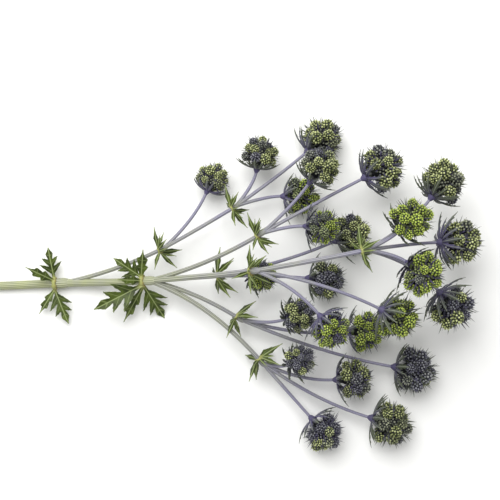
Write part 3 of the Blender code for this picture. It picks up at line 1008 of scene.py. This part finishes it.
def stem_material(settings):
    """Fluted skin of a sea holly stem: waxy and matt, cream green below and violet above.

    The light ribs and the shaded grooves run along it, with faint streaks 0.6 to 1.2 mm apart
    and blotches where the violet comes and goes.
    """
    material, tree, shader, tone = new_material("fluted stem skin", 0.48)
    place = add(tree, "TexCoord", output="UV")
    drawn_out = add(tree, "Mapping", {"Vector": place, "Scale": (1, STREAKS_ROUND, 1)})
    streaks = add(tree, "TexNoise", {"Vector": drawn_out, "Scale": 1, "Detail": 4})
    object_place = place.node.outputs["Object"]
    inputs = {"Vector": object_place, "Scale": per_metre(VIOLET_BLOTCH), "Detail": 3}
    blotches = add(tree, "TexNoise", inputs)
    shares = []
    # Each texture shifts a channel of the tone, and the sum is spread out from low to high.
    for texture, channel, low, high in (
        (blotches, "red", 0.3, 1.05),
        (streaks, "green", 0.25, 1.0),
    ):
        inputs = {0: texture, 1: 0.5, 2: tone[channel]}
        value = add(tree, "Math", inputs, operation="MULTIPLY_ADD")
        inputs = {"Value": value, "From Min": low, "From Max": high}
        shares.append(add(tree, "MapRange", inputs))
    violet, ridge = shares
    skins = []
    for groove, rib in (
        (settings.groove, settings.base),
        (settings.branch_groove, settings.branch),
    ):
        inputs = {0: ridge, 6: rgba(groove), 7: rgba(rib)}
        skins.append(add(tree, "Mix", inputs, 2, data_type="RGBA"))
    skin = add(tree, "Mix", {0: violet, 6: skins[0], 7: skins[1]}, 2, data_type="RGBA")
    inputs = {0: tone["blue"], 6: skin, 7: rgba(settings.pith)}
    whole = add(tree, "Mix", inputs, 2, data_type="RGBA")
    tree.links.new(whole, shader.inputs["Base Color"])
    bump = add(tree, "Bump", {"Strength": 0.35, "Distance": 0.2 * METRES, "Height": streaks})
    tree.links.new(bump, shader.inputs["Normal"])
    return material


def leaf_material(settings):
    """Leathery leaf: dark green with pale veins, lighter edges and a paler under side.

    It has patches of lighter green. Its gloss is low and broken by small raised cells.
    """
    material, tree, shader, tone = new_material("leathery sea holly leaf", 0.5)
    place = add(tree, "TexCoord", output="Object")
    inputs = {"Vector": place, "Scale": per_metre(LEAF_PATCH), "Detail": 4}
    patches = add(tree, "TexNoise", inputs)
    cells = add(tree, "TexVoronoi", {"Vector": place, "Scale": per_metre(LEAF_CELL)})
    # What each share of colour follows, where it starts, where it ends and its most.
    ranges = {
        "light": (patches, 0.38, 0.7, 1),
        "edge": (tone["edge"], 0.93, 1.0, 0.6),
        "midrib": (tone["red"], 0.035, 0.008, 1),
        "side vein": (tone["blue"], 0.88, 1.0, 0.6),
        "under": (tone["edge"], 0.4, 0.1, 1),
        "foot": (tone["green"], 0.14, 0.0, 1),
    }
    share = {}
    for name, (value, low, high, most) in ranges.items():
        inputs = {"Value": value, "From Min": low, "From Max": high, "To Max": most}
        share[name] = add(tree, "MapRange", inputs)
    veins = add(tree, "Math", {0: share["midrib"], 1: share["side vein"]}, operation="MAXIMUM")
    inputs = {0: tone["blue"], 6: rgba(settings.collar), 7: rgba(settings.collar_rim)}
    clasp = add(tree, "Mix", inputs, 2, data_type="RGBA")
    whole = rgba(settings.blade)
    for factor, over in (
        (share["light"], rgba(settings.light_blade)),
        (share["edge"], rgba(settings.rib)),
        (veins, rgba(settings.rib)),
        (share["under"], rgba(settings.under)),
        (share["foot"], clasp),
    ):
        whole = add(tree, "Mix", {0: factor, 6: whole, 7: over}, 2, data_type="RGBA")
    tree.links.new(whole, shader.inputs["Base Color"])
    bump = add(tree, "Bump", {"Strength": 0.4, "Distance": 0.3 * METRES, "Height": cells})
    tree.links.new(bump, shader.inputs["Normal"])
    return material


def bract_material(settings):
    """Stiff spiny bract: matt grey green, violet at its foot, with a pale rib and spine tips.

    Mottling shifts it between the two colours.
    """
    material, tree, shader, tone = new_material("stiff spiny bract", 0.55)
    place = add(tree, "TexCoord", output="Object")
    inputs = {"Vector": place, "Scale": per_metre(BRACT_PATCH), "Detail": 3}
    patches = add(tree, "TexNoise", inputs)
    shift = tone["blue"]
    for value, weight in ((patches, 0.8), (tone["green"], -0.9)):
        inputs = {0: value, 1: weight, 2: shift}
        shift = add(tree, "Math", inputs, operation="MULTIPLY_ADD")
    whole = rgba(settings.green)
    for value, low, high, over in (
        (shift, 0.0, 0.7, settings.violet),
        (tone["red"], 0.5, 1.0, settings.rib),
    ):
        share = add(tree, "MapRange", {"Value": value, "From Min": low, "From Max": high})
        whole = add(tree, "Mix", {0: share, 6: whole, 7: rgba(over)}, 2, data_type="RGBA")
    tree.links.new(whole, shader.inputs["Base Color"])
    bump = add(tree, "Bump", {"Strength": 0.3, "Distance": 0.2 * METRES, "Height": patches})
    tree.links.new(bump, shader.inputs["Normal"])
    return material


def floret_material(name, tip, side, violet_below, settings):
    """Small waxy buds over a core: a pale tip, greener sides, and painted shade at foot and core.

    Each globe is lighter or darker than the next, and those whose share of light is under
    violet_below turn to violet grey. A floret's own share of light shifts it a little too.
    """
    material, tree, shader, tone = new_material(name, 0.42)
    inputs = {0: tone["green"], 1: 0.3, 2: tone["red"]}
    height = add(tree, "Math", inputs, operation="MULTIPLY_ADD")
    # What each share of colour follows, where it starts and where it ends.
    ranges = {
        "side": (height, 0.25, 0.8),
        "tip": (height, 0.78, 1.12),
        "violet": (tone["blue"], violet_below, violet_below - 0.25),
    }
    share = {}
    for part, (value, low, high) in ranges.items():
        inputs = {"Value": value, "From Min": low, "From Max": high}
        share[part] = add(tree, "MapRange", inputs)
    # Painted shade: the feet of the buds and the core between them take the shade colour.
    whole = rgba(settings.shade)
    for part, fresh, violet in (
        ("side", side, settings.violet_side),
        ("tip", tip, settings.violet_tip),
    ):
        inputs = {0: share["violet"], 6: rgba(fresh), 7: rgba(violet)}
        own = add(tree, "Mix", inputs, 2, data_type="RGBA")
        whole = add(tree, "Mix", {0: share[part], 6: whole, 7: own}, 2, data_type="RGBA")
    light = add(tree, "MapRange", {"Value": tone["blue"], "To Min": 0.7, "To Max": 1.2})
    tinted = add(tree, "HueSaturation", {"Color": whole, "Value": light})
    tree.links.new(tinted, shader.inputs["Base Color"])
    return material


# Pieces


def swelling(place, direction, foot_radius, top_radius):
    """Route of the swollen joint at a fork: it rises out of the stem and closes round ahead."""
    radius = top_radius * JOINT_RADIUS
    foot = foot_radius * JOINT_FOOT
    route = []
    for step in range(JOINT_RINGS):
        back = 1 - step / JOINT_RINGS
        widening = (radius - foot) * math.cos(math.pi / 2 * back) ** 2
        route.append((place - direction * radius * JOINT_BACK * back, foot + widening))
    for step in range(JOINT_RINGS + 1):
        turn = math.pi / 2 * JOINT_CLOSING * step / JOINT_RINGS
        ahead = direction * radius * JOINT_AHEAD * math.sin(turn)
        route.append((place + ahead, radius * math.cos(turn)))
    return route


def cut_end(shape):
    """Give the stem's cut end a rim of skin round a spongy middle that has sunk a little."""
    cap = min(shape.faces, key=lambda face: face.calc_center_median().x)
    inward = -cap.normal
    for share, sunk in CUT_STEPS:
        cap = bmesh.ops.extrude_discrete_faces(shape, faces=[cap])["faces"][0]
        middle = cap.calc_center_median()
        for vertex in cap.verts:
            vertex.co = middle.lerp(vertex.co, share) + inward * sunk
        set_tone(shape, cap.verts, (0, 0, 1))


def make_stem(plan, settings):
    """The stem: its ribbed skin, every branch and stalk, and the swollen joints."""
    points = [point for point, radius in STEM_ROUTE]
    radii = [radius for point, radius in STEM_ROUTE]
    ribs = settings.ribs
    depth = settings.rib_depth / METRES
    route = smooth_route(points, radii, STEM_STEP)
    parts = [ribbed_skin(route, ribs * SIDES_PER_RIB, ribs, depth, VIOLET["main stem"])]
    cut_end(parts[0])
    for name, route in plan["routes"].items():
        is_stalk = name in HEADS
        kind = "flower stalk" if is_stalk else "branch"
        if not is_stalk and FORKS[name][0] not in WHORL_LEAVES:
            kind = "upper branch"
        curve = bent_route(*route, FLOWER_STALK_PIECES if is_stalk else BRANCH_PIECES)
        own_depth = depth * BRANCH_RIB_SHARE
        parts.append(ribbed_skin(curve, BRANCH_SIDES, BRANCH_RIBS, own_depth, VIOLET[kind]))
    for name, (parent, place, foot_radius, top_radius) in FORKS.items():
        joint = swelling(Vector(place), plan["directions"][name], foot_radius, top_radius)
        kind = "main joint" if name in WHORL_LEAVES else "joint"
        parts.append(ribbed_skin(joint, JOINT_SIDES, ribs, depth, VIOLET[kind]))
    return join(parts)


def make_collar(collar):
    """The clasping leaf bases round a joint: a ring with a lobed rim."""
    place, direction, ring_radius, thickness, stem_radius = collar
    matrix = facing(direction, place)
    middle = (ring_radius + stem_radius) / 2
    reach = (ring_radius + thickness - stem_radius) / 2

    def place_at(along, around):
        turn = math.tau * along
        angle = math.tau * around
        lobe = 1 + COLLAR_LOBE_DEPTH * math.cos(COLLAR_LOBES * turn)
        point = spoke(turn) * (middle + reach * math.cos(angle))
        point.z = thickness * COLLAR_HEIGHT * math.sin(angle) * lobe
        return matrix @ point, (0, 0, max(0, math.sin(angle) * lobe - COLLAR_RIM))

    return wrapped_grid(COLLAR_RINGS, COLLAR_SIDES, place_at)


def make_leaf(matrix, leaf_length, width, rows, is_main, thickness):
    """A leaf blade with a folded rib, drooping to its tip, and a ripple along its edge."""

    def place_at(t, reach):
        side = reach * width / 2
        wave = math.sin(RIPPLES_ALONG * t + RIPPLES_ACROSS * reach) * abs(reach)
        ripple = LEAF_RIPPLE * leaf_length * wave
        rise = abs(side) * RIB_FOLD - LEAF_DROOP * leaf_length * t * t + ripple
        return matrix @ Vector((t * leaf_length, side, rise))

    down = matrix.to_3x3() @ Vector((0, 0, -thickness))
    leaf = blade(rows, MAIN_LEAF if is_main else SMALL_LEAF, down, place_at)
    layer = tone_layer(leaf)
    for vertex in leaf.verts:
        from_rib, t, near_vein, edge = vertex[layer]
        side_vein = near_vein if is_main else 0
        vertex[layer] = (from_rib * width / 2 / LEAF_TONE_REACH, t, side_vein, edge)
    return leaf


def make_whorl(plan, name, thickness):
    """A collar with its leaves."""
    collar, leaves = plan["whorls"][name]
    is_main = name in WHORL_LEAVES
    parts = [make_collar(collar)]
    parts.extend(make_leaf(*leaf, is_main, thickness) for leaf in leaves)
    return join(parts)


def make_hub(matrix, radius):
    """The swollen top of a stalk, which widens out of its end and bears a head and its bracts."""
    foot_radius = FLOWER_STALK_TOP * HUB_FOOT_SHARE
    widening = radius * HUB_RADIUS - foot_radius
    reach = radius * (HUB_BACK - HUB_FRONT) + HUB_OVERLAP

    def place_at(along, around):
        out = foot_radius + widening * math.sin(math.pi / 2 * along)
        point = spoke(math.tau * around) * out
        point.z = -radius * HUB_FRONT - reach * (1 - along)
        return matrix @ point, HUB_TONE

    return wrapped_grid(HUB_RINGS, HUB_SIDES, place_at)


def make_ruff(name, plan, thickness):
    """The hub and the spiny bracts behind a head, and what stands between its globes."""
    matrix, globes, lines = plan["heads"][name]
    radius = HEADS[name][2]
    width = radius * BRACT_WIDTH
    chance = random.Random("ruff_" + name)
    parts = [make_hub(matrix, radius)]
    shift = chance.uniform(0, RUFF_SHIFT)
    parts.extend(bract(*line, width, thickness, shift) for line in lines)
    for index in range(INNER_BRACTS):
        scatter = chance.uniform(-INNER_SCATTER, INNER_SCATTER)
        around = math.tau * (index + scatter) / INNER_BRACTS
        reach = chance.uniform(*INNER_REACH)
        line = bract_line(radius, around, reach, chance.uniform(*BRACT_SWEEP))
        own_shift = shift + chance.uniform(0, OWN_SHIFT)
        placed = [matrix @ point for point in line]
        parts.append(bract(*placed, width * INNER_WIDTH, thickness, own_shift))
    for axis, scale in globes:
        turned = facing(axis, Vector((0, 0, 0)))
        for index in range(SPINES):
            scatter = chance.uniform(-SPINE_SCATTER, SPINE_SCATTER)
            out = turned @ spoke(math.tau * (index + scatter) / SPINES)
            slant = chance.uniform(*SPINE_SLANT)
            reach = chance.uniform(*SPINE_REACH)
            shares = (SPINE_FOOT, (SPINE_BEND, slant), (reach, slant))
            line = [matrix @ ((axis * up + out * aside) * scale) for up, aside in shares]
            line[2].z = min(line[2].z, SPINE_TOP)
            own_shift = shift + chance.uniform(0, OWN_SHIFT)
            parts.append(spine(*line, radius * SPINE_WIDTH, own_shift))
    return join(parts)


def bract_frame(foot, bend, tip, t):
    """Middle, side and upper directions of a bract at a share of its length."""
    along = ((bend - foot) * (1 - t) + (tip - bend) * t).normalized()
    side = (tip - foot).cross(bend - foot).normalized()
    return curve_place(foot, bend, tip, t), side, along.cross(side).normalized()


def bract(foot, bend, tip, width, thickness, shift):
    """A narrow blade with side spines, keeled along its rib, that bends up from its foot."""

    def place_at(t, reach):
        middle, side, up = bract_frame(foot, bend, tip, t)
        offset = reach * width
        return middle + side * offset + up * abs(offset) * BRACT_KEEL

    down = bract_frame(foot, bend, tip, 0.5)[2] * -thickness
    shape = blade(BRACT_ROWS, (BRACT_STEPS, BRACT_COLUMNS, 0, 0), down, place_at)
    layer = tone_layer(shape)
    spine_start, spine_rise = PALE_SPINE
    tip_start, tip_rise = PALE_TIP
    for vertex in shape.verts:
        from_rib, t = vertex[layer][:2]
        rib = max(0, 1 - from_rib * PALE_RIB)
        on_spine = max(0, from_rib - spine_start) * spine_rise
        on_tip = max(0, (t - tip_start) * tip_rise)
        vertex[layer] = (min(1, rib + on_spine + on_tip), t, shift, 1)
    return shape


def spine(foot, bend, tip, width, shift):
    """A short bent spine that stands between globes."""
    shape = new_shape()
    bmesh.ops.create_cone(
        shape, cap_ends=True, segments=SPINE_SIDES, radius1=1, radius2=0, depth=1
    )
    bmesh.ops.translate(shape, vec=(0, 0, 0.5), verts=shape.verts)
    everything = [*shape.verts, *shape.edges, *shape.faces]
    bmesh.ops.bisect_plane(shape, geom=everything, plane_co=(0, 0, 0.5), plane_no=(0, 0, 1))
    layer = tone_layer(shape)
    dark, pale = SPINE_TONES
    for vertex in shape.verts:
        across, deep, t = vertex.co
        middle, side, up = bract_frame(foot, bend, tip, t)
        own_width = width * (SPINE_FOOT_WIDTH + SPINE_SWELL * t)
        vertex.co = middle + (side * across + up * deep * SPINE_FLATNESS) * own_width
        vertex[layer] = (pale if t > SPINE_TIP else dark, t, shift, 1)
    face_outwards(shape)
    return shape


def make_globe(florets, seed, openness):
    """A globe of radius 1 on a short stalk: buds set in a spiral over a core in painted shade."""
    chance = random.Random(seed)
    shape = new_shape()
    layer = tone_layer(shape)
    # The core is painted shade: its tone of 0 gives it the shade colour.
    bmesh.ops.create_icosphere(shape, subdivisions=2, radius=GLOBE_CORE)
    for vertex in shape.verts:
        vertex[layer] = (0, 0, 0, 1)
        drop = max(0, -vertex.co.z / GLOBE_CORE)
        narrowed = 1 - GLOBE_NARROWER * drop
        vertex.co *= Vector((narrowed, narrowed, 1 + GLOBE_LONGER * drop * drop))
    span = 1 - GLOBE_LOWEST
    for index in range(florets):
        height = 1 - span * (index + 0.5) / florets
        turn = GOLDEN_TURN * index + chance.uniform(-BUD_SCATTER, BUD_SCATTER)
        axis = spoke(turn) * math.sqrt(1 - height * height)
        axis.z = height
        axis.normalize()
        size = math.sqrt(span / florets) * chance.uniform(*BUD_SIZE)
        tall = openness * chance.uniform(*BUD_HEIGHT)
        middle = axis * BUD_DEPTH
        matrix = facing(axis, middle) @ Matrix.Diagonal((size, size, size * tall, 1))
        bud = bmesh.ops.create_icosphere(
            shape, subdivisions=1, radius=BUD_RADIUS, matrix=matrix
        )["verts"]
        own = chance.random()
        for vertex in bud:
            rise = ((vertex.co - middle).dot(axis) / (size * tall * BUD_RADIUS) + 1) / 2
            vertex[layer] = (rise, own, 0, 1)
            if rise > BUD_TOP:
                vertex.co += axis * size * BUD_POINT
    smooth(shape)
    return new_mesh("globe", shape)


def make_head(name, plan, globe_kinds, core_kind):
    """A head: its core of small buds on a neck, and its globes."""
    matrix, globes = plan["heads"][name][:2]
    radius = HEADS[name][2]
    chance = random.Random("globes_" + name)
    shape = new_shape()
    core = matrix @ Matrix.Scale(radius * CORE_SHARE, 4)
    place_globe(shape, core_kind, core, CORE_LIGHT)
    neck = bmesh.ops.create_cone(
        shape,
        cap_ends=True,
        segments=NECK_SIDES,
        radius1=radius * NECK_BACK_RADIUS,
        radius2=radius * NECK_FRONT_RADIUS,
        depth=radius * NECK_LENGTH,
        matrix=matrix @ Matrix.Translation((0, 0, -radius * NECK_MIDDLE)),
    )["verts"]
    set_tone(shape, neck, NECK_TONE)
    for axis, scale in globes:
        size = scale * chance.uniform(*GLOBE_RADIUS)
        turn = Matrix.Rotation(chance.uniform(0, math.tau), 4, "Z")
        stretch = Matrix.Diagonal((size, size, size * chance.uniform(*GLOBE_STRETCH), 1))
        aside = Vector([chance.uniform(-GLOBE_ASIDE, GLOBE_ASIDE) for direction in range(3)])
        middle = (axis + aside).normalized() * scale * chance.uniform(*GLOBE_OUT)
        standing = matrix @ facing(axis, middle) @ turn @ stretch
        place_globe(shape, chance.choice(globe_kinds), standing, chance.random())
    return shape


class SEAHOLLY_OT_stem(bpy.types.Operator):
    """Make the ribbed stem with its branches and joints"""

    bl_idname = "sea_holly.stem"
    bl_label = "Stem"

    def execute(self, context):
        settings = context.scene.sea_holly.stem
        shape = make_stem(plan_plant(), settings)
        keep_piece(shape, "ribbed_stem", stem_material(settings), "stem")
        return {"FINISHED"}


class SEAHOLLY_OT_leaves(bpy.types.Operator):
    """Make the whorls of leaves at the joints"""

    bl_idname = "sea_holly.leaves"
    bl_label = "Leaves"

    def execute(self, context):
        settings = context.scene.sea_holly.leaf
        plan = plan_plant()
        material = leaf_material(settings)
        for name in plan["whorls"]:
            shape = make_whorl(plan, name, settings.thickness / METRES)
            keep_piece(shape, "whorl_" + name, material, "leaves_" + name)
        return {"FINISHED"}


class SEAHOLLY_OT_bracts(bpy.types.Operator):
    """Make the ruff of spiny bracts behind each head"""

    bl_idname = "sea_holly.bracts"
    bl_label = "Bracts"

    def execute(self, context):
        settings = context.scene.sea_holly.bract
        plan = plan_plant()
        material = bract_material(settings)
        for name in HEADS:
            shape = make_ruff(name, plan, settings.thickness / METRES)
            keep_piece(shape, "ruff_" + name, material, "bracts_" + name)
        return {"FINISHED"}


class SEAHOLLY_OT_heads(bpy.types.Operator):
    """Make the heads of floret globes"""

    bl_idname = "sea_holly.heads"
    bl_label = "Heads"

    def execute(self, context):
        settings = context.scene.sea_holly.head
        plan = plan_plant()
        materials = {}
        globe_kinds = {}
        for kind, (palette, openness, violet_below) in FINISHES.items():
            finish = kind + " sea holly florets"
            tip = getattr(settings, palette + "_tip")
            side = getattr(settings, palette + "_side")
            materials[kind] = floret_material(finish, tip, side, violet_below, settings)
            seeds = [f"{kind}_{number}" for number in range(GLOBE_SHAPES)]
            globe_kinds[kind] = [make_globe(settings.florets, seed, openness) for seed in seeds]
        core_kind = make_globe(settings.core_florets, "core", 1.0)
        for name, (parent, place, radius, kind) in HEADS.items():
            shape = make_head(name, plan, globe_kinds[kind], core_kind)
            keep_piece(shape, "globes_" + name, materials[kind], "head_" + name)
        for mesh in (core_kind, *sum(globe_kinds.values(), [])):
            bpy.data.meshes.remove(mesh)
        return {"FINISHED"}


class SEAHOLLY_OT_stage(bpy.types.Operator):
    """Make the floor, the soft studio light and the camera"""

    bl_idname = "sea_holly.stage"
    bl_label = "Stage"

    def execute(self, context):
        settings = context.scene.sea_holly.stage
        scene = context.scene
        ground = bmesh.new()
        bmesh.ops.create_grid(ground, x_segments=1, y_segments=1, size=FLOOR_SIZE)
        bmesh.ops.translate(ground, vec=(*VIEW_MIDDLE, -FLOOR_DEPTH), verts=ground.verts)
        floor = show("floor", new_mesh("floor", ground))
        # The board is matt, so it spreads the light evenly and mirrors nothing.
        board = bpy.data.materials.new("matt white board")
        board.use_nodes = True
        shader = board.node_tree.nodes["Principled BSDF"]
        shader.inputs["Base Color"].default_value = rgba(settings.floor)
        shader.inputs["Roughness"].default_value = BOARD_ROUGHNESS
        floor.data.materials.append(board)
        world = bpy.data.worlds.new("studio")
        world.use_nodes = True
        background = world.node_tree.nodes["Background"]
        background.inputs["Color"].default_value = (1, 1, 1, 1)
        background.inputs["Strength"].default_value = STUDIO_LIGHT
        scene.world = world
        scene.view_settings.view_transform = "Standard"
        lamp = bpy.data.lights.new("softbox", "AREA")
        lamp.shape = "SQUARE"
        lamp.size = SOFTBOX_WIDTH
        lamp.energy = SOFTBOX_WATTS
        softbox = show("softbox", lamp)
        softbox.location = SOFTBOX_PLACE
        aim = Vector(SOFTBOX_AIM) - softbox.location
        softbox.rotation_euler = aim.to_track_quat("-Z", "Y").to_euler()
        lens = bpy.data.cameras.new("camera")
        lens.lens = LENS
        lens.sensor_width = SENSOR_WIDTH
        scene.camera = show("camera", lens)
        scene.camera.location = (*VIEW_MIDDLE, settings.camera_height)
        return {"FINISHED"}


class SEAHOLLY_PT_parts(bpy.types.Panel):
    """The settings and the makers of the sea holly stem"""

    bl_label = "Sea holly"
    bl_idname = "SEAHOLLY_PT_parts"
    bl_space_type = "VIEW_3D"
    bl_region_type = "UI"
    bl_category = "Sea holly"

    def draw(self, context):
        settings = context.scene.sea_holly
        for group, operator in PARTS:
            box = self.layout.box()
            box.operator(operator)
            own = getattr(settings, group)
            for name in own.__annotations__:
                box.prop(own, name)


PARTS = (
    ("stage", "sea_holly.stage"),
    ("stem", "sea_holly.stem"),
    ("leaf", "sea_holly.leaves"),
    ("bract", "sea_holly.bracts"),
    ("head", "sea_holly.heads"),
)
CLASSES = (
    SeaHollyStemSettings,
    SeaHollyLeafSettings,
    SeaHollyBractSettings,
    SeaHollyHeadSettings,
    SeaHollyStageSettings,
    SeaHollySettings,
    SEAHOLLY_OT_stem,
    SEAHOLLY_OT_leaves,
    SEAHOLLY_OT_bracts,
    SEAHOLLY_OT_heads,
    SEAHOLLY_OT_stage,
    SEAHOLLY_PT_parts,
)


def register():
    for made in CLASSES:
        bpy.utils.register_class(made)
    bpy.types.Scene.sea_holly = PointerProperty(type=SeaHollySettings)


def unregister():
    del bpy.types.Scene.sea_holly
    for made in reversed(CLASSES):
        bpy.utils.unregister_class(made)


def main():
    register()
    bpy.ops.sea_holly.stage()
    bpy.ops.sea_holly.stem()
    bpy.ops.sea_holly.leaves()
    bpy.ops.sea_holly.bracts()
    bpy.ops.sea_holly.heads()


if __name__ == "__main__":
    main()
